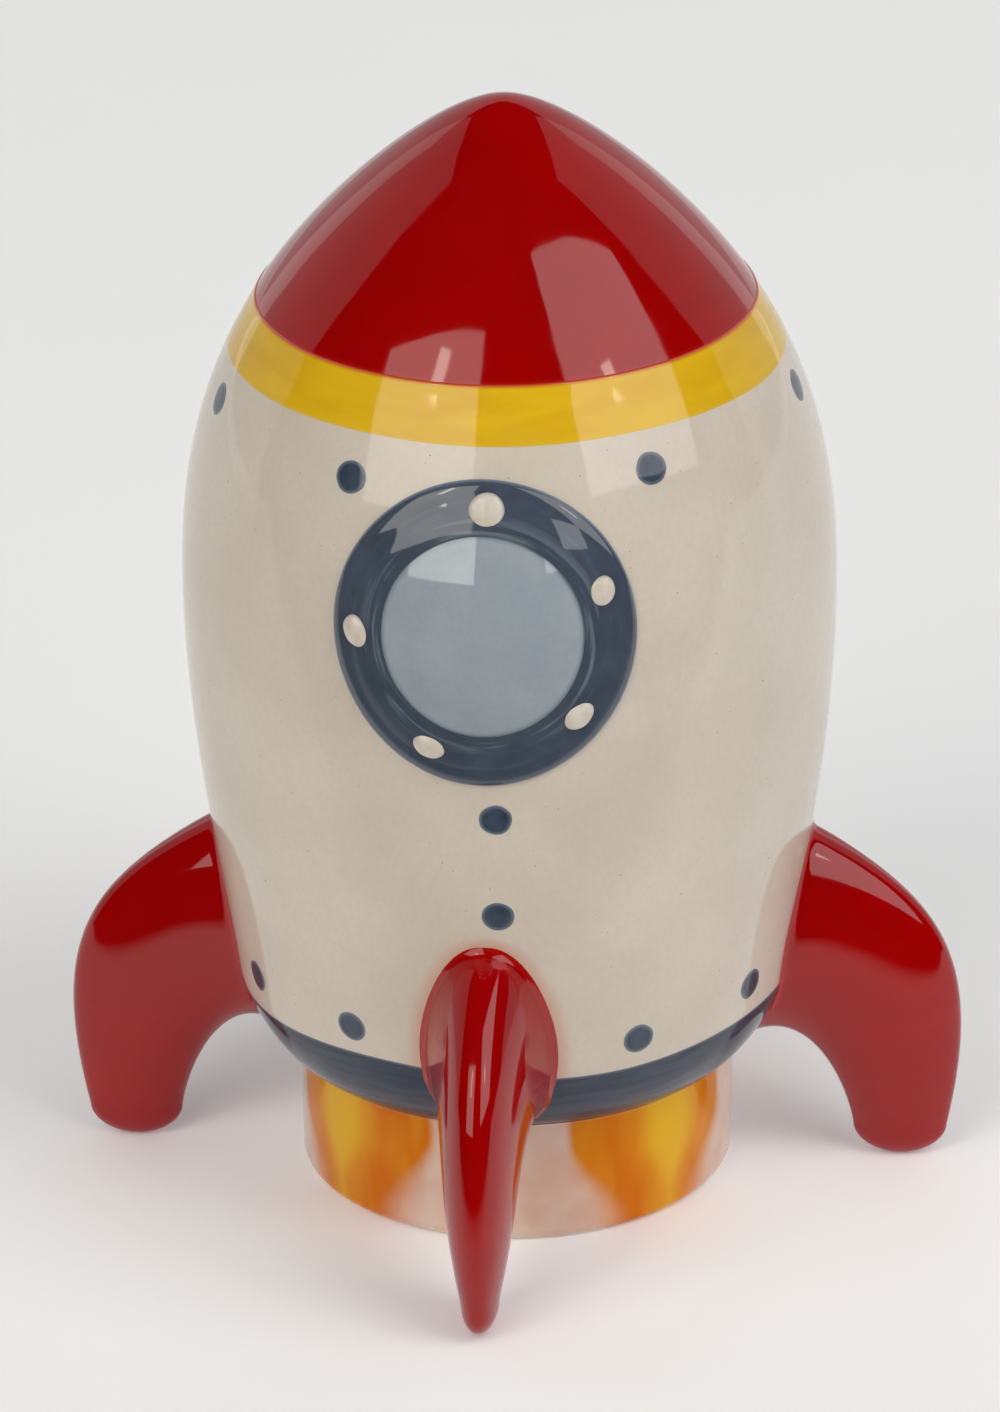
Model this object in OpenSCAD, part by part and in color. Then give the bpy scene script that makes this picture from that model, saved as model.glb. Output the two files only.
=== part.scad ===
// Glazed ceramic space-rocket money bank, standing on its flame skirt and four fins.
// Millimetres. +Z is up, the origin is the centre of the resting plane, and the
// porthole and the front fin face -Y. The coin slot is in the back, +Y.

/* [Body] */
// Height from the table to the tip of the nose
height = 170; // [166:1:176]
// Radius of the hull at its widest
hull_r = 48.5; // [47:0.5:50]
// Height at which the hull is widest
widest_z = 95; // [92:1:98]
// Thickness of the cast ceramic wall
wall = 4; // [3:0.5:5]

/* [Painted zones] */
// Height of the red nose's lower edge
nose_z = 140; // [138:0.2:141]
// Height of the yellow band's lower edge
yellow_z = 132.4; // [131:0.2:134]
// Height of the blue band's upper edge
blue_z = 31.6; // [30:0.2:32.6]

/* [Flame skirt] */
// Outer radius of the flame skirt
skirt_r = 33; // [32:0.5:34]
// Radius of the skirt's rounded lower edge
skirt_edge_r = 2; // [1:0.5:4]

/* [Porthole] */
// Height of the porthole's centre
porthole_z = 105.4; // [104:0.2:107]
// Outer radius of the raised ring
ring_r = 22.3; // [21:0.1:23]
// Radius of the pane inside the ring
pane_r = 15; // [14:0.1:16]
// How far the ring stands out of the hull
ring_lift = 1.8; // [1.2:0.1:2.4]
// Radius of the circle that the rivets sit on
rivet_circle_r = 17.8; // [17.6:0.1:18.6]

/* [Dots] */
// Radius of the blue dots
dot_r = 2.4; // [1.8:0.1:2.8]
// Height of the ring of dots under the yellow band
upper_dot_z = 127.4; // [125:0.2:129]
// Height of the ring of dots over the blue band
lower_dot_z = 37.6; // [36.5:0.2:39]

/* [Fins] */
// Radius at which a fin's foot stands
foot_r = 58.45; // [57:0.05:60]
// Thickness of a fin at its foot
foot_w = 5.8; // [5:0.1:8]
// Thickness of a fin where it leaves the hull
root_w = 21.6; // [20:0.1:25]

/* [Money box] */
// Width of the coin slot
slot_w = 4.8; // [4.6:0.1:5.5]
// Length of the coin slot
slot_l = 34; // [30:1:38]
// Height of the coin slot's centre
slot_z = 100; // [90:1:108]
// Radius of the stopper's hole in the base
hole_r = 15; // [14:0.5:16]

/* [Hidden] */
$fn = 64;

cream = [0.81, 0.77, 0.71];
red = [0.6, 0.02, 0.02];
yellow = [0.85, 0.7, 0.12];
slate = [0.27, 0.33, 0.42];
orange = [0.8, 0.45, 0.1];
pale_blue = [0.6, 0.65, 0.7];

// Hull outline: four cubic curves, from the skirt up to the nose tip.
skirt_top_z = 20.2;
skirt_top = [skirt_r, skirt_top_z];
knee = [41.8, 33.5];
widest = [hull_r, widest_z];
shoulder = [36.8, 139.4];
tip = [0, height];
hull_curves = [
    [skirt_top, skirt_top + [3, 0.15], knee - [0.65, 5.1], knee],
    [knee, knee + [2.4, 19.3], widest - [0, 24.3], widest],
    [widest, widest + [0, 20.9], shoulder + [6.8, -10.8], shoulder],
    [shoulder, shoulder + [-8.7, 13.9], tip + [8.7, 0], tip]
];
curve_steps = 8;

// Painted marks are fired-on skins this thick.
paint_lift = 0.4;
pane_lift = 1.6;
rivet_lift = 1.0;
rivet_r = 2.1;
top_rivet_r = 2.5;
// The rivets were set by eye, so their angles are uneven.
rivet_angles = [22, -41, -115, 180];
top_rivet_angle = 88;
// Azimuths from the front, anticlockwise seen from above; also set by eye.
upper_dot_angles = [-72, -27, 33, 84, 130, 180, 232];
lower_dot_angles = [30, 60];
front_dot_heights = [77, 60.6];
front_dot_angle = 1.8;

// Fin edges in the fin's own plane: radius and height.
fin_steps = 12;
cap_steps = 4;
ring_points = 20;
foot_cap_z = 5;
foot_half = 7.15;
outer_edge = [[42.5, 56.6], [61.4, 44], [72.3, 37.3], [foot_r + foot_half, foot_cap_z]];
inner_edge = [[36, 21.1], [45.2, 24.3], [50.4, 11], [foot_r - foot_half, foot_cap_z]];
fin_widths = [root_w, 8.7, 13.8, foot_w];
// At the root a fin's section is an egg: it leans its thickest place towards the inner edge,
// and its edges are blunter than an ellipse's. Both fade out towards the foot.
fin_lean = 0.2;
fin_blunt = 0.85;

// The yellow hearts of the flames.
core_r = 6.5;
core_z = 13;

// Base: a foot ring, a recess and a floor that holds the stopper.
foot_ring_r = 24;
foot_chamfer = 0.5;
floor_z = 3.2;
floor_t = 4;

// Stopper: a soft plug with a flange under the floor.
plug_gap = 0.1;
flange_r = 18.5;
flange_z = 0.8;
flange_gap = 0.2;
plug_top_z = 11;
plug_taper = 0.8;
plug_wall = 3;
plug_web_z = 5.2;
flange_chamfer = 0.6;
grip_w = 5;
grip_depth = 2.6;

// How far a cutting shape runs past the face that it cuts.
cut = 1;

function bezier(p, t) =
    pow(1 - t, 3) * p[0] + 3 * pow(1 - t, 2) * t * p[1] + 3 * (1 - t) * t * t * p[2] + pow(t, 3) * p[3];

function bezier_slope(p, t) =
    3 * pow(1 - t, 2) * (p[1] - p[0]) + 6 * (1 - t) * t * (p[2] - p[1]) + 3 * t * t * (p[3] - p[2]);

// A place on the hull outline is s: 0 at the skirt, 4 at the nose tip.
function hull_curve(s) = min(floor(s), 3);
function hull_point(s) = bezier(hull_curves[hull_curve(s)], s - hull_curve(s));
function hull_inward(s) =
    let (d = bezier_slope(hull_curves[hull_curve(s)], s - hull_curve(s))) [-d.y, d.x] / norm(d);

// The place on the outline at height z, found by halving.
function hull_s(z, low = 0, high = 4, turns = 30) =
    let (mid = (low + high) / 2)
    turns == 0 ? mid
    : hull_point(mid).y < z ? hull_s(z, mid, high, turns - 1)
    : hull_s(z, low, mid, turns - 1);

// Points of the outline from s0 to s1, moved inwards by depth.
function hull_outline(s0, s1, depth = 0) = [
    for (s = concat([s0], [for (i = [1 : 4 * curve_steps - 1])
                           let (k = i / curve_steps) if (k > s0 + 0.001 && k < s1 - 0.001) k], [s1]))
        hull_point(s) + depth * hull_inward(s)
];

function reversed(list) = [for (i = [len(list) - 1 : -1 : 0]) list[i]];

function arc(centre, r, from, to, steps = 6) =
    [for (i = [0 : steps]) let (a = from + (to - from) * i / steps) centre + r * [cos(a), sin(a)]];

// Outline of the skirt's outer side, from the resting plane up.
skirt_outline = concat(
    arc([skirt_r - skirt_edge_r, skirt_edge_r], skirt_edge_r, -90, 0), [skirt_top]);

s_blue = hull_s(blue_z);
s_yellow = hull_s(yellow_z);
s_nose = hull_s(nose_z);
s_tip = 4;

// A band of the cast wall, from s0 to s1 of the hull outline.
module wall_band(s0, s1) {
    rotate_extrude()
        polygon(concat(hull_outline(s0, s1), reversed(hull_outline(s0, s1, wall))));
}

// A thin layer on the outside of the cream part of the hull.
module hull_skin(lift) {
    rotate_extrude()
        polygon(concat(hull_outline(s_blue, s_yellow), reversed(hull_outline(s_blue, s_yellow, -lift))));
}

// Everything inside the outer surface, from the resting plane to the yellow band.
module solid_body() {
    rotate_extrude()
        polygon(concat([[0, 0]], skirt_outline, hull_outline(0, s_yellow), [[0, yellow_z]]));
}

// A bar that leaves the axis at height z towards azimuth angle, on the hull's outside only.
module spoke(angle, z, r) {
    rotate([0, 0, angle - 90])
        translate([hull_r / 2, 0, z])
            rotate([0, 90, 0])
                cylinder(h = hull_r, r = r);
}

// A bar towards -Y through the porthole, off its centre by x and z.
module porthole_bar(r, x = 0, z = 0) {
    translate([x, -hull_r / 2, porthole_z + z])
        rotate([90, 0, 0])
            cylinder(h = hull_r, r = r);
}

module dot_ring(angles, z) {
    intersection() {
        hull_skin(paint_lift);
        union()
            for (angle = angles)
                spoke(angle, z, dot_r);
    }
}

module coin_slot() {
    half = (slot_l - slot_w) / 2;
    translate([0, hull_r - 3 * wall, slot_z]) {
        translate([-slot_w / 2, 0, -half])
            cube([slot_w, 6 * wall, 2 * half]);
        for (side = [-1, 1])
            translate([0, 0, side * half])
                rotate([-90, 0, 0])
                    cylinder(h = 6 * wall, r = slot_w / 2);
    }
}

module hull() {
    color(cream)
        difference() {
            wall_band(s_blue, s_yellow);
            coin_slot();
        }
}

module nose_cone() {
    color(red)
        wall_band(s_nose, s_tip);
}

module yellow_band() {
    color(yellow)
        wall_band(s_yellow, s_nose);
}

module blue_band() {
    color(slate)
        wall_band(0, s_blue);
}

// The glazed foot of the body: outer wall, foot ring and the ledge under the floor.
module flame_skirt() {
    inner_r = skirt_r - wall;
    color(orange)
        rotate_extrude()
            polygon(concat(
                [[foot_ring_r, floor_z], [foot_ring_r, foot_chamfer], [foot_ring_r + foot_chamfer, 0]],
                skirt_outline,
                [hull_point(0) + wall * hull_inward(0), [inner_r, skirt_top_z + wall], [inner_r, floor_z]]));
}

// Four yellow hearts of the flames, fired onto the skirt between the fins.
module flame_cores() {
    color(yellow)
        intersection() {
            rotate_extrude()
                translate([skirt_r, skirt_edge_r])
                    square([paint_lift, skirt_top_z - skirt_edge_r]);
            union()
                for (quarter = [0 : 3])
                    spoke(45 + 90 * quarter, core_z, core_r);
        }
}

module base_floor() {
    color(cream)
        translate([0, 0, floor_z])
            difference() {
                cylinder(h = floor_t, r = skirt_r - wall);
                translate([0, 0, -cut])
                    cylinder(h = floor_t + 2 * cut, r = hole_r);
            }
}

module porthole_ring() {
    color(slate)
        intersection() {
            hull_skin(ring_lift);
            difference() {
                porthole_bar(ring_r);
                porthole_bar(pane_r);
            }
        }
}

module porthole_pane() {
    color(pale_blue)
        intersection() {
            hull_skin(pane_lift);
            porthole_bar(pane_r);
        }
}

module porthole_rivets() {
    color(cream)
        intersection() {
            difference() {
                hull_skin(ring_lift + rivet_lift);
                hull_skin(ring_lift);
            }
            union() {
                porthole_bar(top_rivet_r, rivet_circle_r * cos(top_rivet_angle),
                             rivet_circle_r * sin(top_rivet_angle));
                for (angle = rivet_angles)
                    porthole_bar(rivet_r, rivet_circle_r * cos(angle), rivet_circle_r * sin(angle));
            }
        }
}

module upper_dots() {
    color(slate)
        dot_ring(upper_dot_angles, upper_dot_z);
}

module lower_dots() {
    color(slate)
        dot_ring([for (quarter = [0 : 3]) for (angle = lower_dot_angles) angle + 90 * quarter], lower_dot_z);
}

module front_dots() {
    color(slate)
        intersection() {
            hull_skin(paint_lift);
            union()
                for (z = front_dot_heights)
                    spoke(front_dot_angle, z, dot_r);
        }
}

// One section of a fin, between its outer and inner edges. Past u = 1 the sections close
// into the rounded foot.
function fin_ring(u) =
    let (t = min(u, 1),
         a = 90 * max(u - 1, 0),
         outer = bezier(outer_edge, t),
         inner = bezier(inner_edge, t),
         mid = (outer + inner) / 2,
         half = (outer - inner) / 2 * cos(a),
         half_w = bezier(fin_widths, t) / 2 * cos(a),
         lean = fin_lean * (1 - t),
         blunt = fin_blunt + (1 - fin_blunt) * t,
         drop = foot_cap_z * sin(a))
    [for (i = [0 : ring_points - 1])
        let (b = 360 * i / ring_points)
        [mid.x + half.x * cos(b),
         half_w * sign(sin(b)) * pow(abs(sin(b)), blunt) * (1 - lean * cos(b)),
         mid.y + half.y * cos(b) - drop]];

module fin_form() {
    stations = concat([for (i = [0 : fin_steps]) i / fin_steps],
                      [for (i = [1 : cap_steps - 1]) 1 + i / cap_steps]);
    rings = [for (u = stations) fin_ring(u)];
    last = len(rings) - 1;
    n = ring_points;
    points = concat([for (ring = rings) each ring], [[foot_r, 0, 0]]);
    sides = [for (k = [0 : last - 1]) for (i = [0 : n - 1])
        let (j = (i + 1) % n) [k * n + i, k * n + j, (k + 1) * n + j, (k + 1) * n + i]];
    foot = [for (i = [0 : n - 1]) [last * n + i, last * n + (i + 1) % n, len(points) - 1]];
    root = [[for (i = [n - 1 : -1 : 0]) i]];
    polyhedron(points, concat(root, sides, foot), convexity = 4);
}

// A fin towards azimuth angle, luted onto the outside of the body.
module fin(angle) {
    color(red)
        difference() {
            rotate([0, 0, angle - 90])
                fin_form();
            solid_body();
        }
}

module fin_front() { fin(0); }
module fin_right() { fin(90); }
module fin_back() { fin(180); }
module fin_left() { fin(270); }

module stopper() {
    plug_r = hole_r - plug_gap;
    flange_top_z = floor_z - flange_gap;
    color("dimgray")
        difference() {
            rotate_extrude()
                polygon([[0, flange_z],
                         [flange_r - flange_chamfer, flange_z], [flange_r, flange_z + flange_chamfer],
                         [flange_r, flange_top_z], [plug_r, flange_top_z], [plug_r, floor_z + floor_t],
                         [plug_r - plug_taper, plug_top_z], [plug_r - plug_wall, plug_top_z],
                         [plug_r - plug_wall, plug_web_z], [0, plug_web_z]]);
            for (side = [-1, 1])
                intersection() {
                    translate([0, 0, flange_z - cut])
                        cylinder(h = grip_depth + cut, r = plug_r - plug_wall);
                    translate([side > 0 ? grip_w / 2 : -hole_r - grip_w / 2, -hole_r, flange_z - cut])
                        cube([hole_r, 2 * hole_r, grip_depth + cut]);
                }
        }
}

hull();
nose_cone();
yellow_band();
blue_band();
flame_skirt();
flame_cores();
base_floor();
porthole_ring();
porthole_pane();
porthole_rivets();
upper_dots();
lower_dots();
front_dots();
fin_front();
fin_right();
fin_back();
fin_left();
stopper();
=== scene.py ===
"""Glazed ceramic space-rocket money bank: its looks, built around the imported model.

Shapes are worked out in millimetres and become metres when their mesh is made. +Z is up and the
porthole faces -Y. An azimuth is measured from the front (-Y) towards +X, in radians.
"""
import bisect
import math

import bmesh
import bpy
import numpy as np
from mathutils import Matrix, Vector, noise


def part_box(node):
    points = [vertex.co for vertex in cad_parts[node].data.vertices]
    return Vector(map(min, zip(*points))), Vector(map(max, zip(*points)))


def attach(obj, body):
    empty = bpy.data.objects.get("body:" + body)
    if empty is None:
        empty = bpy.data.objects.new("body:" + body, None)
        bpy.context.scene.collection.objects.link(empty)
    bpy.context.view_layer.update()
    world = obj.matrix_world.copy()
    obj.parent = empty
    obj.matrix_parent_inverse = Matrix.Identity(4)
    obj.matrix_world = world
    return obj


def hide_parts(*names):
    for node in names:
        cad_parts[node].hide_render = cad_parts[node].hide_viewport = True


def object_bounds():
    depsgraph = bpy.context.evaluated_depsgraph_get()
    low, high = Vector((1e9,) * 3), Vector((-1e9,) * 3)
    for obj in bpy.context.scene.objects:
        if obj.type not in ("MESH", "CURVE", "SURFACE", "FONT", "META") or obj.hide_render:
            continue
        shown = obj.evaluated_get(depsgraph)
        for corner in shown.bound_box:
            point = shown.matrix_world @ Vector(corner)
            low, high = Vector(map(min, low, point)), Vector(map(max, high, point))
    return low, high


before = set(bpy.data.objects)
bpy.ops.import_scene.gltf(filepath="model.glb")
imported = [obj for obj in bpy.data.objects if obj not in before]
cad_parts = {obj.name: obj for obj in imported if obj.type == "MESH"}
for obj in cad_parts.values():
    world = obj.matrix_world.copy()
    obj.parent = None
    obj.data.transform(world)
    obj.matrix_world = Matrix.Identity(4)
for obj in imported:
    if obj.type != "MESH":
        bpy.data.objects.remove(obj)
cad_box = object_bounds()

MM = 0.001
BODY = "bank"
STOPPER_BODY = "stopper"


def node_box(node):
    """Lowest and highest corners of a CAD node, in millimetres."""
    low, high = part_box(node)
    return low / MM, high / MM


# ---- driving dimensions, millimetres
height = cad_box[1][2] / MM
hull_r = node_box("hull")[1].x
skirt_r = node_box("flame_skirt")[1].x
widest_z = 95
wall = 4

nose_z = 140
yellow_z = 132.4
blue_z = 31.6
skirt_top_z = 20.2

porthole_z = 105.4
ring_r = 22.3
pane_r = 15
pane_rim_r = pane_r - 0.4  # the ring's glaze runs a little over the pane's edge
rivet_circle_r = 17.8

upper_dot_z = 127.4
lower_dot_z = 37.6
front_dot_heights = (77, 60.6)
dot_r = 2.4

slot_w = 4.8
slot_l = 34
slot_z = 100

foot_r = 58.45
foot_half = 7.15
foot_w = 5.8
root_w = 21.6
foot_cap_z = 5

floor_low, floor_high = node_box("base_floor")
stopper_low, stopper_high = node_box("stopper")
hole_r = 15
pocket_r = 11.9
grip_w = 5
grip_depth = 2.6


# ---- the hull's outline
def bezier(points, t):
    a, b, c, d = points
    return (1 - t) ** 3 * a + 3 * (1 - t) ** 2 * t * b + 3 * (1 - t) * t * t * c + t ** 3 * d


def bezier_slope(points, t):
    a, b, c, d = points
    return (1 - t) ** 2 * (b - a) + 2 * (1 - t) * t * (c - b) + t * t * (d - c)


def pair(x, z):
    return Vector((x, z))


skirt_top = pair(skirt_r, skirt_top_z)
knee = pair(41.8, 33.5)
widest = pair(hull_r, widest_z)
shoulder = pair(36.8, 139.4)
tip = pair(0, height)
hull_curves = (
    (skirt_top, skirt_top + pair(3, 0.15), knee - pair(0.65, 5.1), knee),
    (knee, knee + pair(2.4, 19.3), widest - pair(0, 24.3), widest),
    (widest, widest + pair(0, 20.9), shoulder + pair(6.8, -10.8), shoulder),
    (shoulder, shoulder + pair(-8.7, 13.9), tip + pair(8.7, 0), tip),
)
OUTLINE_STEPS = 240


def sampled_outline():
    """Rows along the outline: length so far, radius, height and the outward normal."""
    rows = []
    length = 0
    for curve in hull_curves:
        first = 1 if rows else 0
        for i in range(first, OUTLINE_STEPS + 1):
            t = i / OUTLINE_STEPS
            point = bezier(curve, t)
            slope = bezier_slope(curve, t).normalized()
            if rows:
                length += math.dist(point, rows[-1][1:3])
            rows.append((length, point.x, point.y, slope.y, -slope.x))
    return rows


OUTLINE = sampled_outline()
OUTLINE_LENGTHS = [row[0] for row in OUTLINE]
OUTLINE_HEIGHTS = [row[2] for row in OUTLINE]
TIP_LENGTH = OUTLINE_LENGTHS[-1]


def outline_row(keys, value):
    """The outline's row where the given column has this value."""
    i = min(max(bisect.bisect_right(keys, value), 1), len(keys) - 1)
    share = (value - keys[i - 1]) / (keys[i] - keys[i - 1])
    share = min(max(share, 0), 1)
    return [a + (b - a) * share for a, b in zip(OUTLINE[i - 1], OUTLINE[i])]


def outline_at(length):
    return outline_row(OUTLINE_LENGTHS, length)


def outline_at_height(z):
    return outline_row(OUTLINE_HEIGHTS, z)


def length_at(z):
    return outline_at_height(z)[0]


# A slip casting is never quite true: slow swells of a few hundredths of a millimetre.
SWELL = 0.07
SWELL_WAVE = 26


def swell(point):
    return SWELL * noise.noise(point / SWELL_WAVE)


def around(azimuth, radius, z):
    return Vector((radius * math.sin(azimuth), -radius * math.cos(azimuth), z))


def hull_point(azimuth, length, lift):
    """A point on the hull's outside, moved outwards by lift."""
    _, radius, z, out_r, out_z = outline_at(length)
    point = around(azimuth, radius, z)
    move = lift + swell(point)
    return point + move * around(azimuth, out_r, out_z)


def face_point(x, z, lift, side=-1):
    """The hull's point seen straight from the front (side -1) or the back (side 1)."""
    _, radius, z, out_r, out_z = outline_at_height(z)
    y = side * math.sqrt(max(radius * radius - x * x, 0))
    point = Vector((x, y, z))
    outward = Vector((out_r * x / radius, out_r * y / radius, out_z))
    return point + (lift + swell(point)) * outward


# ---- mesh making
FAR = 99.0  # a mark's value where the edge it measures from is too far away to matter


def new_object(name, data):
    made = bpy.data.objects.new(name, data)
    bpy.context.scene.collection.objects.link(made)
    return made


class Shell:
    """Gathers points and faces of one closed piece, and marks that its material reads. A mark
    that a point isn't given is 0."""

    def __init__(self):
        self.points = []
        self.marks = []
        self.faces = []

    def point(self, position, **marks):
        self.points.append(position)
        self.marks.append(marks)
        return len(self.points) - 1

    def ring(self, positions, **marks):
        return [self.point(position, **marks) for position in positions]

    def join(self, ring, other, closed=True, skip=()):
        """Quads between two rings of equal length."""
        count = len(ring)
        for i in range(count if closed else count - 1):
            if i in skip:
                continue
            j = (i + 1) % count
            self.faces.append((ring[i], ring[j], other[j], other[i]))

    def skin(self, rings, looped=False):
        """Joins each ring to the next, and the last one back to the first if looped."""
        following = rings[1:] + (rings[:1] if looped else [])
        for ring, other in zip(rings, following):
            self.join(ring, other)

    def middle(self, ring):
        return sum((self.points[index] for index in ring), Vector((0, 0, 0))) / len(ring)

    def close(self, ring, centre):
        """Triangles from a ring to one point."""
        for i, index in enumerate(ring):
            self.faces.append((index, ring[(i + 1) % len(ring)], centre))

    def piece(self, name, material, slot, nodes, body=BODY, sharp=40):
        """Makes the smooth-shaded piece, which rides on a body and stands for CAD nodes."""
        used = sorted({index for face in self.faces for index in face})
        place = {index: k for k, index in enumerate(used)}
        mesh = bpy.data.meshes.new(name)
        points = [self.points[index] * MM for index in used]
        mesh.from_pydata(points, [], [[place[index] for index in face] for face in self.faces])
        for mark in sorted({key for marks in self.marks for key in marks}):
            attribute = mesh.attributes.new(mark, "FLOAT", "POINT")
            values = [self.marks[index].get(mark, 0.0) for index in used]
            attribute.data.foreach_set("value", values)
        work = bmesh.new()
        work.from_mesh(mesh)
        bmesh.ops.recalc_face_normals(work, faces=work.faces)
        work.to_mesh(mesh)
        work.free()
        for polygon in mesh.polygons:
            polygon.use_smooth = True
        mesh.set_sharp_from_angle(angle=math.radians(sharp))
        mesh.materials.append(material)
        piece = new_object(name, mesh)
        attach(piece, body)
        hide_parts(*nodes)


def circle_angles(count):
    return [2 * math.pi * i / count for i in range(count)]


def quarter_turn(count):
    return [math.pi / 2 * i / count for i in range(count + 1)]


# ---- where the fins grow
outer_foot = pair(foot_r + foot_half, foot_cap_z)
inner_foot = pair(foot_r - foot_half, foot_cap_z)
outer_edge = (pair(42.5, 56.6), pair(61.4, 44), pair(72.3, 37.3), outer_foot)
inner_edge = (pair(36, 21.1), pair(45.2, 24.3), pair(50.4, 11), inner_foot)
fin_widths = (root_w, 8.7, 13.8, foot_w)
# Degrees. The front fin was luted on a little askew.
FIN_AZIMUTHS = {"fin_front": -0.8, "fin_right": 90, "fin_back": 180, "fin_left": 270}
FIN_POINTS = 72
ROOT_SAMPLES = 240
FIN_ROWS = 56
FIN_ROW_CROWDING = 1.35  # above 1, the rows stand closer near the root
FIN_CAP_ROWS = 10
FIN_LEAN = 0.2
FIN_BLUNT = 0.85
ROOT_FILLET = 1.0
ROOT_TRIM = 0.5
ROOT_TRIM_REACH = 4
ROOT_DEPTH = 1.6
ROOT_SINK = 0.12
ROOT_SEARCH = 0.8  # every line along the fin has left the hull by here
ROOT_HALVINGS = 30


def fin_section(u, angle):
    """A point of the fin: radius, sideways, height. At the root the section leans its thickest
    place towards the inner edge and has blunt edges. Past u = 1 it rounds off."""
    t = min(u, 1)
    close = math.pi / 2 * max(u - 1, 0)
    outer = bezier(outer_edge, t)
    inner = bezier(inner_edge, t)
    middle = (outer + inner) / 2
    half = (outer - inner) / 2 * math.cos(close)
    half_w = bezier(fin_widths, t) / 2 * math.cos(close)
    blunt = FIN_BLUNT + (1 - FIN_BLUNT) * t
    flat = middle + half * math.cos(angle)
    across = math.copysign(abs(math.sin(angle)) ** blunt, math.sin(angle))
    side = half_w * across * (1 - FIN_LEAN * (1 - t) * math.cos(angle))
    return Vector((flat.x, side, flat.y - foot_cap_z * math.sin(close)))


# The outline that fins grow from: the skirt's side and then the hull, as (radius, height) rows.
SKIRT_ROWS = [(skirt_r, z / 2) for z in range(round(2 * skirt_top_z))]
GROUND = np.array(SKIRT_ROWS + [row[1:3] for row in OUTLINE])
GROUND_OUT = np.array([(1, 0)] * len(SKIRT_ROWS) + [row[3:5] for row in OUTLINE])


def nearest_ground(point):
    """The body's nearest outline place to a point: its row, and how far outside it the point is."""
    offset = np.array((math.hypot(point.x, point.y), point.z)) - GROUND
    row = int((offset ** 2).sum(axis=1).argmin())
    return row, float(offset[row] @ GROUND_OUT[row])


def fin_turn(azimuth):
    return Matrix.Rotation(math.radians(azimuth - 90), 3, "Z")


def root_start(angle):
    """Where a line along the fin leaves the hull."""
    low, high = 0.0, ROOT_SEARCH
    for _ in range(ROOT_HALVINGS):
        middle = (low + high) / 2
        if nearest_ground(fin_section(middle, angle))[1] < 0:
            low = middle
        else:
            high = middle
    return high


def root_outlines():
    """The lines where the four fins meet the body."""
    one = [fin_section(root_start(angle), angle) for angle in circle_angles(ROOT_SAMPLES)]
    turns = [fin_turn(azimuth) for azimuth in FIN_AZIMUTHS.values()]
    return np.array([turn @ point for turn in turns for point in one])


ROOTS = root_outlines()


def fin_distances(points):
    """How far each point of a ring is from the nearest fin's root line."""
    offsets = np.array(points)[:, None, :] - ROOTS[None, :, :]
    return np.sqrt((offsets ** 2).sum(axis=2)).min(axis=1)


# ---- painted bands of the hull
COLUMNS = 192
ROW_STEP = 1.3
EDGE_ROWS = (0.0, 0.12, 0.3, 0.55, 0.9, 1.4, 2.1)
EDGE_WAVES = 1.7


def painted_edge(z, size, seed):
    """An edge painted by hand near height z: length along the outline at an azimuth."""
    middle = length_at(z)

    def edge(azimuth):
        where = Vector((math.cos(azimuth), math.sin(azimuth), 0)) * EDGE_WAVES
        return middle + size * noise.noise(where + Vector((0, 0, seed)))

    return edge


def blue_bottom_edge(azimuth):
    return 0


def waved(edge, mean, size, low_azimuth):
    """The edge with a slow wave: it dips at one azimuth and every quarter turn from there."""
    low = math.radians(low_azimuth)
    return lambda azimuth: edge(azimuth) + mean - size * math.cos(4 * (azimuth - low))


blue_top_edge = waved(painted_edge(blue_z, 0.25, 3.1), 0.85, 0.8, 20)
yellow_bottom_edge = painted_edge(yellow_z, 0.5, 7.7)
nose_edge = painted_edge(nose_z, 0.25, 12.3)


def band_rows(span, at_tip):
    """Distances above the low edge, close together near painted edges."""
    near_low = list(EDGE_ROWS)
    near_high = [] if at_tip else [span - d for d in reversed(EDGE_ROWS)]
    end = span - ROW_STEP / 2 if at_tip else near_high[0]
    count = max(round((end - near_low[-1]) / ROW_STEP), 1)
    step = (end - near_low[-1]) / count
    inner = [near_low[-1] + step * i for i in range(1, count + (1 if at_tip else 0))]
    return near_low + inner + near_high


def band(name, low, high, material, slot, nodes, crest=None, cut=None):
    """A full-thickness band of the casting between two edges; high None runs to the nose tip."""
    shell = Shell()
    at_tip = high is None
    azimuths = circle_angles(COLUMNS)
    lows = [low(azimuth) for azimuth in azimuths]
    highs = [TIP_LENGTH if at_tip else high(azimuth) for azimuth in azimuths]
    span = min(high_end - low_end for low_end, high_end in zip(lows, highs))
    nominal = band_rows(span, at_tip)
    sides = []
    for depth in (0, wall):
        rings = []
        for row in nominal:
            places = []
            edges = []
            for azimuth, start, end in zip(azimuths, lows, highs):
                length = start + row * (end - start) / span
                lift = crest(end - length) if crest and depth == 0 else -depth
                places.append(hull_point(azimuth, length, lift))
                edges.append((length - start, FAR if at_tip else end - length))
            gaps = fin_distances(places)
            rings.append([shell.point(place, from_low=below, from_high=above, from_fin=float(gap))
                          for place, (below, above), gap in zip(places, edges, gaps)])
        sides.append(rings)
    outer, inner = sides
    gap = cut.cells(shell, outer) if cut else {}
    for rings in sides:
        for k in range(len(rings) - 1):
            shell.join(rings[k], rings[k + 1], skip=gap.get(k, ()))
    shell.join(outer[0], inner[0])
    if at_tip:
        for rings, depth in ((outer, 0), (inner, wall)):
            top = shell.point(hull_point(0, TIP_LENGTH, -depth), from_low=FAR, from_high=FAR)
            shell.close(rings[-1], top)
    else:
        shell.join(outer[-1], inner[-1])
    if cut:
        cut.line(outer, inner)
    shell.piece(name, material, slot, nodes)


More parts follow.
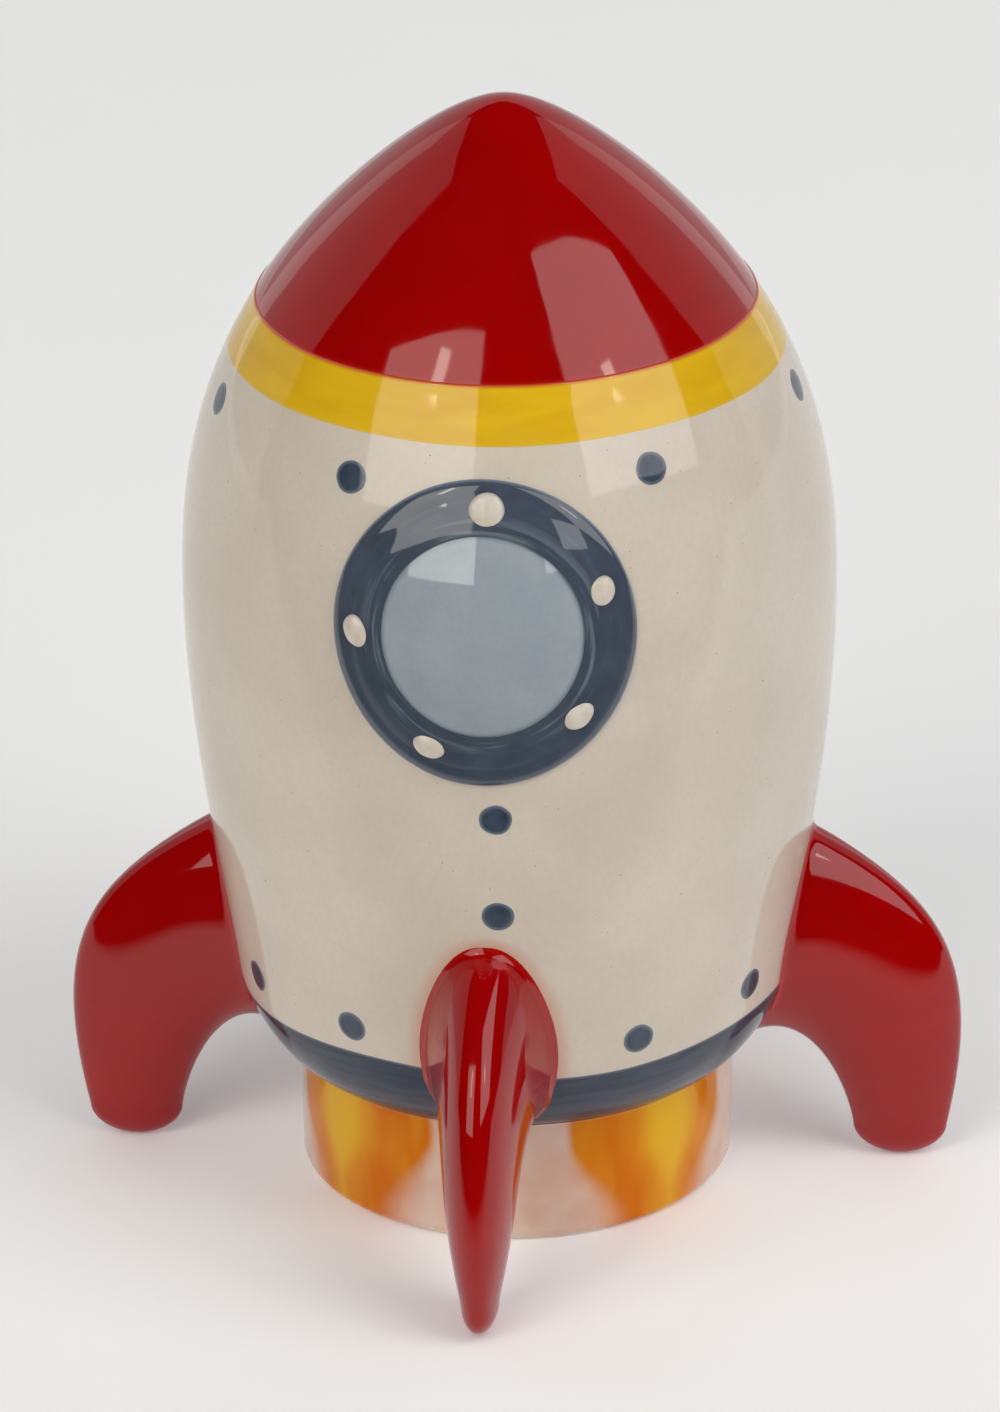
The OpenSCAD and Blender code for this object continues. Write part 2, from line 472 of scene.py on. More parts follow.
class CoinSlot:
    """A slot in the back of the hull with softly rounded lips."""

    lip = 1.0
    margin_columns = 5
    margin_z = 6.5
    arc_steps = 6

    def cells(self, shell, rings):
        """The grid cells left out for the slot, as {row: columns}."""
        self.shell = shell
        middle = COLUMNS // 2
        half = slot_l / 2 + self.margin_z
        self.rows = [k for k, ring in enumerate(rings)
                     if abs(shell.points[ring[middle]].z - slot_z) <= half]
        self.columns = range(middle - self.margin_columns, middle + self.margin_columns + 1)
        return {k: set(self.columns[:-1]) for k in self.rows[:-1]}

    def border(self, rings):
        """The grid's points around the gap, in order."""
        bottom = [rings[self.rows[0]][c] for c in self.columns]
        right = [rings[k][self.columns[-1]] for k in self.rows[1:-1]]
        top = [rings[self.rows[-1]][c] for c in reversed(self.columns)]
        left = [rings[k][self.columns[0]] for k in reversed(self.rows[1:-1])]
        return bottom + right + top + left

    def outline(self, border, spread):
        """For each border point, the nearest place on the slot's outline, widened by spread."""
        straight = (slot_l - slot_w) / 2
        places = []
        for flat in border:
            centre = pair(0, min(max(flat.y, slot_z - straight), slot_z + straight))
            places.append(centre + (flat - centre).normalized() * (slot_w / 2 + spread))
        return places

    def line(self, outer, inner):
        """Joins the gap's outer and inner borders through the slot."""
        first = self.border(outer)
        border = [self.shell.points[index].xz for index in first]
        lips = self.outline(border, self.lip)
        halfway = [(flat + place) / 2 for flat, place in zip(border, lips)]
        steps = [(self.lip * (1 - math.sin(turn)), self.lip * (1 - math.cos(turn)))
                 for turn in quarter_turn(self.arc_steps)]
        steps += [(spread, wall - fall) for spread, fall in reversed(steps)]
        rings = [first, self.ring(halfway, 0)]
        rings += [self.ring(self.outline(border, spread), depth) for spread, depth in steps]
        rings += [self.ring(halfway, wall), self.border(inner)]
        self.shell.skin(rings)

    def ring(self, places, depth):
        positions = [face_point(place.x, place.y, -depth, side=1) for place in places]
        return self.shell.ring(positions, from_low=FAR, from_high=FAR, from_fin=FAR)


# ---- relief and painted marks
BACK_DEPTH = -0.8  # what is laid on the hull reaches this far into it
PANE_RISE = 0.5
PORTHOLE_WIDE = 0.976
PORTHOLE_TALL = 1.018
RING_COLUMNS = 160
RING_STEPS = 8
RING_WOBBLE = 0.007
PANE_COLUMNS = 128
PANE_ROWS = 22
BLOB_COLUMNS = 40
BLOB_STEPS = 7
BLOB_SINK = 0.5
BLOB_WOBBLE = 0.05
RIVET_BASE = 1.25
RIVET_LIFT = 0.85
DOT_BASE = 0.04
DOT_LIFT = 0.05


def outline_wobble(angle, size, seed):
    where = Vector((math.cos(angle), math.sin(angle), seed))
    return 1 + size * noise.noise(where * 1.3)


def porthole_place(angle, radius, rise):
    """A place on the porthole. It was laid by hand, a little taller than it is wide."""
    x = PORTHOLE_WIDE * radius * math.cos(angle)
    return x, porthole_z + rise + PORTHOLE_TALL * radius * math.sin(angle)


def porthole_ring(material):
    """A raised ring: a rounded outer shoulder, then a broad top that climbs towards the pane."""
    shell = Shell()
    shoulder_w = 2.2
    shoulder_lift = 1.0
    inner_lift = 1.8
    top_r = ring_r - shoulder_w
    rim_r = pane_rim_r - 0.1
    profile = [(ring_r, BACK_DEPTH), (ring_r, -0.1)]
    for turn in quarter_turn(RING_STEPS)[1:]:
        profile.append((ring_r - shoulder_w * (1 - math.cos(turn)), shoulder_lift * math.sin(turn)))
    for i in range(1, RING_STEPS + 1):
        t = i / RING_STEPS
        profile.append((top_r + (rim_r - top_r) * t,
                        shoulder_lift + (inner_lift - shoulder_lift) * math.sin(math.pi / 2 * t)))
    profile.append((rim_r, BACK_DEPTH))
    rings = []
    for radius, lift in profile:
        share = (radius - rim_r) / (ring_r - rim_r)
        seed = 5.0 if share > 0.5 else 9.0
        ring = []
        for angle in circle_angles(RING_COLUMNS):
            size = radius * outline_wobble(angle, RING_WOBBLE, seed)
            place = porthole_place(angle, size, PANE_RISE * (1 - share))
            ring.append(shell.point(face_point(*place, lift), across=share))
        rings.append(ring)
    shell.skin(rings, looped=True)
    shell.piece("porthole_ring_glazed", material, "slate_glaze", ["porthole_ring"])


def porthole_pane(material):
    """A shallow dome inside the ring, nearly flush with it at the rim."""
    shell = Shell()
    edge_lift = 1.5
    rise = 1.9
    rings = []
    radii = [pane_rim_r]
    radii += [pane_rim_r * math.sqrt(1 - i / PANE_ROWS) for i in range(PANE_ROWS)]
    for k, radius in enumerate(radii):
        share = radius / pane_rim_r
        lift = BACK_DEPTH if k == 0 else edge_lift + rise * (1 - share * share)
        positions = [face_point(*porthole_place(angle, radius, PANE_RISE), lift)
                     for angle in circle_angles(PANE_COLUMNS)]
        rings.append(shell.ring(positions, across=share))
    shell.skin(rings)
    shell.close(rings[-1], shell.point(face_point(0, porthole_z, edge_lift + rise)))
    shell.close(rings[0], shell.point(face_point(0, porthole_z, BACK_DEPTH)))
    shell.piece("porthole_pane_glazed", material, "pane_glaze", ["porthole_pane"])


def on_front(x, z):
    """Puts flat points around a place on the front of the hull, for blob."""
    return lambda dx, dz, lift: face_point(x + dx, z + dz, lift)


def on_side(azimuth, z):
    """Puts flat points around a place anywhere round the hull, for blob."""
    length = length_at(z)
    radius = outline_at(length)[1]
    return lambda dx, dz, lift: hull_point(azimuth + dx / radius, length + dz, lift)


def blob(shell, place, radius, base, lift, seed, ratio=1.0, tilt=0.0):
    """One domed drop of slip or paint on a place. ratio makes it oval, with its long side turned
    by tilt."""
    rings = []
    rows = [(1.0, base - BLOB_SINK), (1.0, base)]
    rows += [(math.cos(turn), base + lift * math.sin(turn))
             for turn in quarter_turn(BLOB_STEPS)[1:-1]]
    for share, high in rows:
        ring = []
        for angle in circle_angles(BLOB_COLUMNS):
            size = radius * share * outline_wobble(angle, BLOB_WOBBLE, seed)
            long = size * ratio * math.cos(angle)
            short = size / ratio * math.sin(angle)
            x = long * math.cos(tilt) - short * math.sin(tilt)
            z = long * math.sin(tilt) + short * math.cos(tilt)
            ring.append(shell.point(place(x, z, high), across=share))
        rings.append(ring)
    shell.skin(rings)
    shell.close(rings[-1], shell.point(place(0, 0, base + lift)))
    shell.close(rings[0], shell.point(place(0, 0, base - BLOB_SINK)))


# Angle on the ring, distance out from the rivets' circle, radius, how oval, tilt of the long side.
# They were trailed on by hand in white slip, so no two are alike.
RIVETS = (
    (88, 0.7, 2.5, 1.03, 0),
    (22, 0, 1.97, 1.09, 88),
    (-41, -0.3, 2.1, 1.15, 45),
    (-115, 0.1, 2.1, 1.14, -25),
    (180, 0, 2.05, 1.16, 105),
)


def porthole_rivets(material):
    shell = Shell()
    for k, (angle, out, radius, ratio, tilt) in enumerate(RIVETS):
        turn = math.radians(angle)
        distance = rivet_circle_r + out
        place = on_front(distance * math.cos(turn), porthole_z + distance * math.sin(turn))
        blob(shell, place, radius, RIVET_BASE, RIVET_LIFT, 3.3 * k, ratio, math.radians(tilt))
    shell.piece("porthole_rivets_glazed", material, "cream_glaze", ["porthole_rivets"])


# Azimuths of the dots, and how far each brush mark strayed up or down.
UPPER_DOTS = ((-72, 0), (-26.3, -1), (33, 0), (84, 0.2), (130, -0.4), (180, 0.3), (232, 0))
LOWER_DOTS = (
    (30, -0.9), (60, 0.8), (120, 0.3), (150, -0.4), (210, 0.4), (240, 0), (300, 0.2), (330, 0),
)
FRONT_DOT_ANGLE = 1.8


def dots(name, marks, middle_z, material):
    """A row of brush dots, thin enough to look painted."""
    shell = Shell()
    for k, (degrees, stray) in enumerate(marks):
        z = middle_z + stray
        place = on_side(math.radians(degrees), z)
        blob(shell, place, dot_r, DOT_BASE, DOT_LIFT, 5.9 * k + z)
    shell.piece(name + "_glazed", material, "slate_glaze", [name])


# ---- fins
def fin_surface(u, angle):
    """A point of the fin's outside and its distance from the body. Near the body it is trimmed a
    little and flared into a fillet."""
    point = fin_section(u, angle)
    gap = max(nearest_ground(point)[1], 0)
    if gap >= 5 * ROOT_TRIM_REACH:
        return point, gap
    flare = -ROOT_TRIM * math.exp(-gap / ROOT_TRIM_REACH)
    if gap < ROOT_FILLET:
        flare += ROOT_FILLET - math.sqrt(ROOT_FILLET ** 2 - (ROOT_FILLET - gap) ** 2)
    middle = (fin_section(u, 0) + fin_section(u, math.pi)) / 2
    outward = (point - middle).normalized()
    return settle(point + outward * flare, gap), gap


def fin(name, azimuth, material):
    """A fin luted to the hull, with a rounded foot."""
    shell = Shell()
    angles = circle_angles(FIN_POINTS)
    starts = [root_start(angle) for angle in angles]
    turn = fin_turn(azimuth)
    rings = []
    for i in range(FIN_ROWS + 1):
        share = (i / FIN_ROWS) ** FIN_ROW_CROWDING
        ring = []
        for angle, start in zip(angles, starts):
            point, gap = fin_surface(start + (1 - start) * share, angle)
            ring.append(shell.point(turn @ point, from_root=gap))
        rings.append(ring)
    for i in range(1, FIN_CAP_ROWS):
        positions = [turn @ fin_section(1 + i / FIN_CAP_ROWS, angle) for angle in angles]
        rings.append(shell.ring(positions, from_root=FAR))
    root = []
    for index in rings[0]:
        point = turn.transposed() @ shell.points[index]
        inward = Vector((point.x, point.y, 0)).normalized() * ROOT_DEPTH
        root.append(shell.point(turn @ (point - inward)))
    centre = shell.middle(root)
    shell.skin([root] + rings)
    shell.close(root, shell.point(centre))
    shell.close(rings[-1], shell.point(turn @ Vector((foot_r, 0, 0)), from_root=FAR))
    shell.piece(name + "_glazed", material, "red_glaze", [name], sharp=60)


def settle(point, gap):
    """Moves a flared point to the given distance outside the body, a hair under it at the start."""
    sink = ROOT_SINK if gap < ROOT_SINK else 0
    row, now = nearest_ground(point)
    out_r, out_z = GROUND_OUT[row] * (gap - sink - now)
    flat = Vector((point.x, point.y, 0)).normalized()
    return point + flat * out_r + Vector((0, 0, out_z))


# ---- foot, floor and stopper
def revolve(name, profile, material, slot, nodes, shift=lambda *place: 0):
    """A closed outline of (radius, height) pairs turned about the axis, and shifted outwards."""
    shell = Shell()
    rings = []
    for radius, z in profile:
        rings.append(shell.ring([around(azimuth, radius + shift(azimuth, radius, z), z)
                                 for azimuth in circle_angles(COLUMNS)]))
    shell.skin(rings, looped=True)
    shell.piece(name, material, slot, nodes)


def arc(centre, radius, start, end, steps):
    turn = [math.radians(start + (end - start) * i / steps) for i in range(steps + 1)]
    return [(centre[0] + radius * math.cos(a), centre[1] + radius * math.sin(a)) for a in turn]


def flame_skirt(material):
    """The foot of the casting: foot ring, bulging outer wall and the ledge under the floor."""
    edge_r = 2
    foot_ring_r = 24
    foot_ring_edge = 0.6
    chamfer = 0.4
    bulge = 0.25
    neck = 1.0
    side_steps = 15
    out_of_round = 0.35
    inner_r = skirt_r - wall
    outer_r = skirt_r - bulge
    low = floor_low.z
    side = []
    for i in range(1, side_steps):
        z = edge_r + (skirt_top_z - neck - edge_r) * i / side_steps
        swell_share = math.sin(math.pi * (z - edge_r) / (skirt_top_z - edge_r))
        side.append((outer_r + bulge * swell_share, z))
    profile = (
        arc((foot_ring_r + foot_ring_edge, foot_ring_edge), foot_ring_edge, 180, 270, 5)
        + arc((outer_r - edge_r, edge_r), edge_r, -90, 0, 14)
        + side
        + arc((outer_r + neck, skirt_top_z - neck), neck, 180, 95, 6)
        + [(skirt_r - 1, skirt_top_z + 0.1), (inner_r, skirt_top_z + wall), (inner_r, floor_high.z)]
        + [(inner_r, low + chamfer), (foot_ring_r + chamfer, low), (foot_ring_r, low - chamfer)]
    )

    def unround(azimuth, radius, z):
        """A slow sway of the outer wall, none at the table and at the neck."""
        if radius < inner_r:
            return 0
        where = Vector((math.cos(azimuth), math.sin(azimuth), z / 40)) * 1.4
        sway = out_of_round * (noise.noise(where) - 0.4)
        return sway * min(z / 3, 1) * min((skirt_top_z - z) / 4, 1)

    revolve("flame_skirt_lustred", profile, material, "flame_lustre",
            ["flame_skirt", "flame_cores"], shift=unround)


def base_floor(material):
    """The floor of the bank, with the stopper's round-lipped hole."""
    lip = 0.8
    chamfer = 0.3
    outer_r = skirt_r - wall - 0.05
    low, high = floor_low.z, floor_high.z
    profile = (
        arc((hole_r + lip, low + lip), lip, 180, 270, 5)
        + [(outer_r - chamfer, low), (outer_r, low + chamfer), (outer_r, high)]
        + arc((hole_r + lip, high - lip), lip, 90, 180, 5)
    )
    revolve("base_floor_biscuit", profile, material, "biscuit", ["base_floor"])


POCKET_ARC = 40
POCKET_STRAIGHT = 18
BAR_STEPS = 6


def pocket_ring(side, inset, z):
    """One finger pocket's outline, seen from below a D: its round side, then its straight side."""
    radius = pocket_r - inset
    edge = grip_w / 2 + inset
    reach = math.acos(edge / radius)
    turns = [reach * (2 * i / POCKET_ARC - 1) for i in range(POCKET_ARC + 1)]
    round_side = [(radius * math.cos(a), radius * math.sin(a)) for a in turns]
    end = radius * math.sin(reach)
    straight = [(edge, end * (1 - 2 * i / POCKET_STRAIGHT)) for i in range(1, POCKET_STRAIGHT)]
    return [Vector((side * x, side * y, z)) for x, y in round_side + straight]


def stopper(material):
    """A moulded rubber plug with a flange, two finger pockets below and a hollow top."""
    shell = Shell()
    low, high = stopper_low.z, stopper_high.z
    flange_r = stopper_high.x
    plug_r = hole_r - 0.1
    flange_top = floor_low.z - 0.2
    plug_wall = 3
    web_z = 5.2
    taper = 0.8
    lip = 0.5
    pocket_z = low + grip_depth
    pockets = []
    for side in (1, -1):
        steps = [(lip * math.sin(turn), low + lip * (1 - math.cos(turn)))
                 for turn in quarter_turn(4)]
        steps += [(lip + 0.15, pocket_z - lip), (lip + 0.4, pocket_z - 0.1),
                  (lip + 1.0, pocket_z), (lip + 3.4, pocket_z)]
        rings = [shell.ring(pocket_ring(side, inset, z)) for inset, z in steps]
        shell.skin(rings)
        shell.close(rings[-1], shell.point(shell.middle(rings[-1])))
        pockets.append(rings[0])
    angles, loop = grip_bar(shell, pockets)
    profile = (
        [(pocket_r + 0.8, low)]
        + arc((flange_r - 0.6, low + 0.6), 0.6, -90, 0, 5)
        + arc((flange_r - 0.5, flange_top - 0.5), 0.5, 0, 90, 4)
        + [(plug_r + 0.3, flange_top), (plug_r - 0.25, flange_top + 0.3), (plug_r, floor_high.z)]
        + arc((plug_r - taper - 0.5, high - 0.5), 0.5, 20, 90, 4)
        + arc((plug_r - plug_wall + 0.4, high - 0.4), 0.4, 90, 180, 4)
        + arc((plug_r - plug_wall - 0.8, web_z + 0.8), 0.8, 0, -90, 5)
        + [(plug_r / 2, web_z)]
    )
    rings = [loop]
    for radius, z in profile:
        positions = [Vector((radius * math.cos(a), radius * math.sin(a), z)) for a in angles]
        rings.append(shell.ring(positions))
    shell.skin(rings)
    shell.close(rings[-1], shell.point(Vector((0, 0, web_z))))
    shell.piece("stopper_moulded", material, "stopper_rubber", ["stopper"],
                body=STOPPER_BODY, sharp=50)


def grip_bar(shell, pockets):
    """The bar between the two pockets. Returns the loop round both: its angles and its points."""
    first, second = pockets
    one = first[POCKET_ARC:] + first[:1]
    other = (second[POCKET_ARC:] + second[:1])[::-1]
    rows = []
    for start, end in zip(one, other):
        between = [shell.point(shell.points[start].lerp(shell.points[end], i / BAR_STEPS))
                   for i in range(1, BAR_STEPS)]
        rows.append([start] + between + [end])
    for row, following in zip(rows, rows[1:]):
        shell.join(row, following, closed=False)
    round_sides = first[:POCKET_ARC + 1], second[:POCKET_ARC + 1]
    loop = round_sides[0] + rows[0][1:-1] + round_sides[1] + rows[-1][-2:0:-1]
    angles = [math.atan2(shell.points[i].y, shell.points[i].x) for i in loop]
    return angles, loop


# ---- materials
class Paint:
    """Builds one material's nodes. A value may be a plain number or another node's output."""

    def __init__(self, name, roughness, ior=1.5):
        self.material = bpy.data.materials.new(name)
        self.material.use_nodes = True
        self.tree = self.material.node_tree
        self.shader = self.tree.nodes["Principled BSDF"]
        self.shade("Roughness", roughness)
        self.shade("IOR", ior)
        self.place = self.node("ShaderNodeTexCoord").outputs["Object"]

    def feed(self, socket, value):
        if isinstance(value, bpy.types.NodeSocket):
            self.tree.links.new(value, socket)
        else:
            socket.default_value = value

    def shade(self, name, value):
        """Sets or feeds the shader's input of this name."""
        self.feed(self.shader.inputs[name], value)

    def node(self, kind, inputs=(), **properties):
        """A new node with its properties and inputs. inputs is {name or place: value}."""
        node = self.tree.nodes.new(kind)
        for key, value in properties.items():
            setattr(node, key, value)
        for key, value in dict(inputs).items():
            self.feed(node.inputs[key], value)
        return node

    def mark(self, name):
        return self.node("ShaderNodeAttribute", attribute_name=name).outputs["Fac"]

    def scaled(self, scale):
        """Object coordinates times a vector, for stretched patterns."""
        inputs = {0: self.place, 1: scale}
        return self.node("ShaderNodeVectorMath", inputs, operation="MULTIPLY").outputs[0]

    def waves(self, wave_mm):
        """Object coordinates counted in waves of this length."""
        return self.scaled([1 / (wave_mm * MM)] * 3)

    def noise(self, wave_mm, detail=2.0, roughness=0.5, distortion=0.0, stretch=(1, 1, 1)):
        scale = [1 / (wave_mm * MM) * s for s in stretch]
        inputs = {"Vector": self.scaled(scale), "Scale": 1.0, "Detail": detail,
                  "Roughness": roughness, "Distortion": distortion}
        return self.node("ShaderNodeTexNoise", inputs).outputs["Fac"]

    def circling(self, across, count, wave_mm):
        """Noise drawn out along a ring: a given count of strokes across it, each a long wave."""
        split = self.node("ShaderNodeSeparateXYZ", {0: self.waves(wave_mm)}).outputs
        strokes = self.math("MULTIPLY", across, count)
        join = self.node("ShaderNodeCombineXYZ", {0: strokes, 1: split[0], 2: split[2]})
        inputs = {"Vector": join.outputs[0], "Scale": 1.0, "Detail": 3.0}
        return self.node("ShaderNodeTexNoise", inputs).outputs["Fac"]

    def range(self, value, low, high, to_low=0.0, to_high=1.0):
        """Eases from to_low to to_high while the value goes from low to high."""
        inputs = dict(enumerate((value, low, high, to_low, to_high)))
        return self.node("ShaderNodeMapRange", inputs, clamp=True,
                         interpolation_type="SMOOTHSTEP").outputs[0]

    def math(self, operation, first, second=0.0):
        return self.node("ShaderNodeMath", {0: first, 1: second}, operation=operation).outputs[0]

    def mix(self, share, first, second):
        inputs = {0: share, 6: first, 7: second}
        return self.node("ShaderNodeMix", inputs, data_type="RGBA").outputs[2]

    def specks(self, cell_mm, size, kept):
        """Small round specks: 1 inside a speck, only in the given share of cells."""
        inputs = {"Vector": self.waves(cell_mm), "Scale": 1.0}
        cells = self.node("ShaderNodeTexVoronoi", inputs).outputs
        inside = self.math("LESS_THAN", cells["Distance"], size)
        split = self.node("ShaderNodeSeparateColor", {0: cells["Color"]})
        chosen = self.math("LESS_THAN", split.outputs[0], kept)
        return self.math("MULTIPLY", inside, chosen)

    def coordinate(self, axis):
        """x, y or z in millimetres, for axis 0, 1 or 2."""
        split = self.node("ShaderNodeSeparateXYZ", {0: self.place})
        return self.math("MULTIPLY", split.outputs[axis], 1 / MM)

    def axis_distance(self):
        x = self.coordinate(0)
        y = self.coordinate(1)
        squares = self.math("ADD", self.math("MULTIPLY", x, x), self.math("MULTIPLY", y, y))
        return self.math("SQRT", squares)

    def bump(self, height, depth_mm):
        inputs = {"Distance": depth_mm * MM, "Strength": 1.0, "Height": height}
        self.shade("Normal", self.node("ShaderNodeBump", inputs).outputs["Normal"])

    def start(self, share, first, second):
        """Starts the colour as a mix of two, each given as rgb takes it."""
        self.colour = self.mix(share, rgb(*first), rgb(*second))

    def lay(self, share, colour):
        """Lays a share of another colour over the colour so far."""
        self.colour = self.mix(share, self.colour, rgb(*colour))

    def finished(self):
        self.shade("Base Color", self.colour)
        return self.material


def rgb(red, green, blue):
    """A colour given as it looks on a screen, 0 to 255, for a shader."""
    def linear(value):
        value /= 255
        return value / 12.92 if value <= 0.04045 else ((value + 0.055) / 1.055) ** 2.4
    return (linear(red), linear(green), linear(blue), 1.0)


GLAZE_ROUGHNESS = 0.045
HAZE_ROUGHNESS = 0.08


def glaze(name, ior=1.5):
    """A clear glaze: glossy, with slow ripples and a little haze here and there."""
    paint = Paint(name, GLAZE_ROUGHNESS, ior)
    haze = paint.noise(9, 3.0)
    paint.shade("Roughness", paint.range(haze, 0.35, 0.75, GLAZE_ROUGHNESS, HAZE_ROUGHNESS))
    paint.bump(paint.noise(7, 1.0, 0.4), 0.035)
    return paint


def cream_glaze():
    paint = glaze("cream_glaze")
    paint.start(paint.range(paint.noise(22, 3.0), 0.3, 0.7), (213, 201, 186), (221, 210, 196))
    paint.lay(paint.range(paint.noise(0.9, 2.0), 0.3, 0.75, 0.0, 0.14), (192, 175, 156))
    paint.lay(paint.specks(1.7, 0.06, 0.3), (160, 140, 120))
    paint.lay(paint.specks(4.3, 0.035, 0.25), (172, 112, 84))
    # painted reflection: a pinkish halo on the cream round the fin roots, where the red fins are
    # mirrored in the glaze
    paint.lay(paint.range(paint.mark("from_fin"), 0.3, 2.6, 0.6, 0.0), (214, 158, 130))
    return paint.finished()


def rivet_glaze():
    paint = glaze("rivet_glaze")
    paint.start(paint.range(paint.noise(1.5), 0.3, 0.7), (222, 213, 200), (211, 200, 185))
    paint.lay(paint.range(paint.mark("across"), 0.8, 1.0, 0.0, 0.45), (150, 150, 155))
    return paint.finished()


def red_glaze(name, edge_mark):
    paint = glaze(name)
    strokes = paint.noise(7, 3.0, 0.5, 0.4, stretch=(0.6, 0.6, 1.1))
    paint.start(paint.range(strokes, 0.3, 0.75), (160, 1, 2), (168, 1, 2))
    paint.lay(paint.range(paint.noise(30, 2.0), 0.35, 0.7, 0.0, 0.6), (150, 0, 1))
    paint.lay(paint.range(paint.mark(edge_mark), 0.0, 0.7, 0.6, 0.0), (176, 24, 16))
    return paint.finished()


def yellow_glaze():
    paint = glaze("yellow_glaze")
    strokes = paint.noise(6, 3.0, 0.5, 0.6, stretch=(0.35, 0.35, 1.8))
    paint.start(paint.range(strokes, 0.3, 0.75), (232, 188, 32), (224, 174, 27))
    paint.lay(paint.range(paint.noise(13, 2.0), 0.5, 0.75, 0.0, 0.35), (224, 182, 58))
    # the red laid over the yellow, its darker line, and the yellow's own pale rim
    paint.lay(paint.range(paint.mark("from_high"), 0.3, 0.8, 1.0, 0.0), (212, 126, 30))
    paint.lay(paint.range(paint.mark("from_high"), 0.12, 0.36, 1.0, 0.0), (190, 62, 50))
    paint.lay(paint.range(paint.mark("from_low"), 0.0, 0.5, 0.6, 0.0), (218, 188, 92))
    return paint.finished()


def start_slate(paint, stretch):
    """The brushed slate blue of the band, the ring and the dots."""
    strokes = paint.noise(3.2, 4.0, 0.6, 0.5, stretch=stretch)
    paint.start(paint.range(strokes, 0.3, 0.75), (51, 62, 76), (72, 83, 98))
    paint.lay(paint.range(paint.noise(14, 2.0), 0.35, 0.7, 0.0, 0.45), (56, 65, 84))


def slate_band_glaze():
    paint = glaze("slate_band_glaze")
    paint.shade("Specular IOR Level", 0.25)
    start_slate(paint, (0.3, 0.3, 2.0))
    # pale rims at both edges, and bare clay below the lower one
    paint.lay(paint.range(paint.mark("from_high"), 0.0, 0.55, 0.75, 0.0), (128, 140, 152))
    paint.lay(paint.range(paint.mark("from_low"), 0.8, 1.6, 0.6, 0.0), (88, 98, 124))
    paint.lay(paint.range(paint.mark("from_low"), 0.5, 0.8, 1.0, 0.0), (196, 168, 142))
    return paint.finished()


def slate_ring_glaze():
    """Brushed round and round: thin paler strokes beside the pane and at the outer rim."""
    paint = glaze("slate_ring_glaze", ior=1.62)
    start_slate(paint, (0.5, 0.5, 0.5))
    paint.lay(0.3, (88, 98, 111))
    across = paint.mark("across")
    strokes = paint.range(paint.circling(across, 9, 14), 0.5, 0.66)
    near_pane = paint.range(across, 0.45, 0.05, 0.1, 0.8)
    paint.lay(paint.math("MULTIPLY", strokes, near_pane), (122, 132, 142))
    shadow = paint.range(across, 0.1, 0.0, 0.0, 0.6)
    paint.lay(shadow, (70, 80, 92))
    outer_rim = paint.range(across, 0.93, 0.99, 0.0, 0.75)
    paint.lay(outer_rim, (128, 144, 162))
    return paint.finished()


def slate_dot_glaze():
    paint = glaze("slate_dot_glaze")
    start_slate(paint, (1, 1, 1))
    paint.lay(paint.range(paint.mark("across"), 0.72, 1.0, 0.0, 0.8), (118, 132, 148))
    return paint.finished()


def pane_glaze():
    paint = glaze("pane_glaze", ior=1.75)
    clouds = paint.noise(12, 3.0, 0.5, 0.3)
    paint.start(paint.range(clouds, 0.3, 0.7), (157, 167, 176), (169, 178, 185))
    paint.lay(paint.range(paint.noise(0.8, 2.0), 0.3, 0.75, 0.0, 0.16), (136, 150, 162))
    paint.lay(paint.range(paint.mark("across"), 0.93, 1.0, 0.0, 0.6), (112, 126, 140))
    return paint.finished()


def flame_lustre():
    """Airbrushed flames: orange fields with yellow hearts between the fins, over pinkish cream."""
    halfway = 45.0  # degrees from the front or back fin towards a side fin
    heart_turn = 49.0
    field_start = 16.5
    paint = glaze("flame_lustre")
    z = paint.coordinate(2)
    # 0 at the front and back fins, 90 at the side fins
    turn = paint.math("ARCTAN2", paint.coordinate(0), paint.coordinate(1))
    turn = paint.math("MULTIPLY", paint.math("PINGPONG", turn, math.pi / 2), 180 / math.pi)
    ragged = paint.math("MULTIPLY", paint.math("SUBTRACT", paint.noise(9, 2.0), 0.5), 3.0)
    turn = paint.math("ADD", turn, ragged)
    from_halfway = paint.math("ABSOLUTE", paint.math("SUBTRACT", turn, halfway))
    from_fin = paint.math("SUBTRACT", halfway, from_halfway)
    widening = paint.range(z, 0.0, 14.0, 5.0, 0.0)
    softness = paint.range(z, 2.0, 17.0, 16.0, 3.0)
    field = paint.range(paint.math("SUBTRACT", from_fin, widening), field_start,
                        paint.math("ADD", field_start, softness))
    strokes = paint.noise(7, 2.0, 0.5, 0.5, stretch=(1.2, 1.2, 0.4))
    paint.start(paint.range(strokes, 0.35, 0.7), (218, 116, 18), (226, 140, 34))
    orange = paint.colour
    paint.start(paint.range(paint.noise(6, 2.0), 0.3, 0.7), (230, 204, 188), (224, 186, 166))
    paint.colour = paint.mix(field, paint.colour, orange)
    from_heart = paint.math("ABSOLUTE", paint.math("SUBTRACT", turn, heart_turn))
    from_heart = paint.math("ADD", from_heart, paint.range(z, 3.0, 14.0, 8.0, 0.0))
    paint.lay(paint.range(from_heart, 3.5, 12.0, 1.0, 0.0), (242, 198, 42))
    paint.lay(paint.range(from_heart, 7.0, 19.0, 0.5, 0.0), (234, 168, 40))
    # the shadow line under the neck
    paint.lay(paint.range(z, 19.2, 20.2, 0.0, 0.5), (178, 138, 112))
    inside = paint.math("LESS_THAN", paint.axis_distance(), skirt_r - wall - 0.6)
    bare = paint.math("MAXIMUM", paint.range(z, 0.25, 0.05), inside)
    paint.lay(bare, (214, 204, 190))
    paint.shade("Specular Tint", paint.colour)
    return paint.finished()


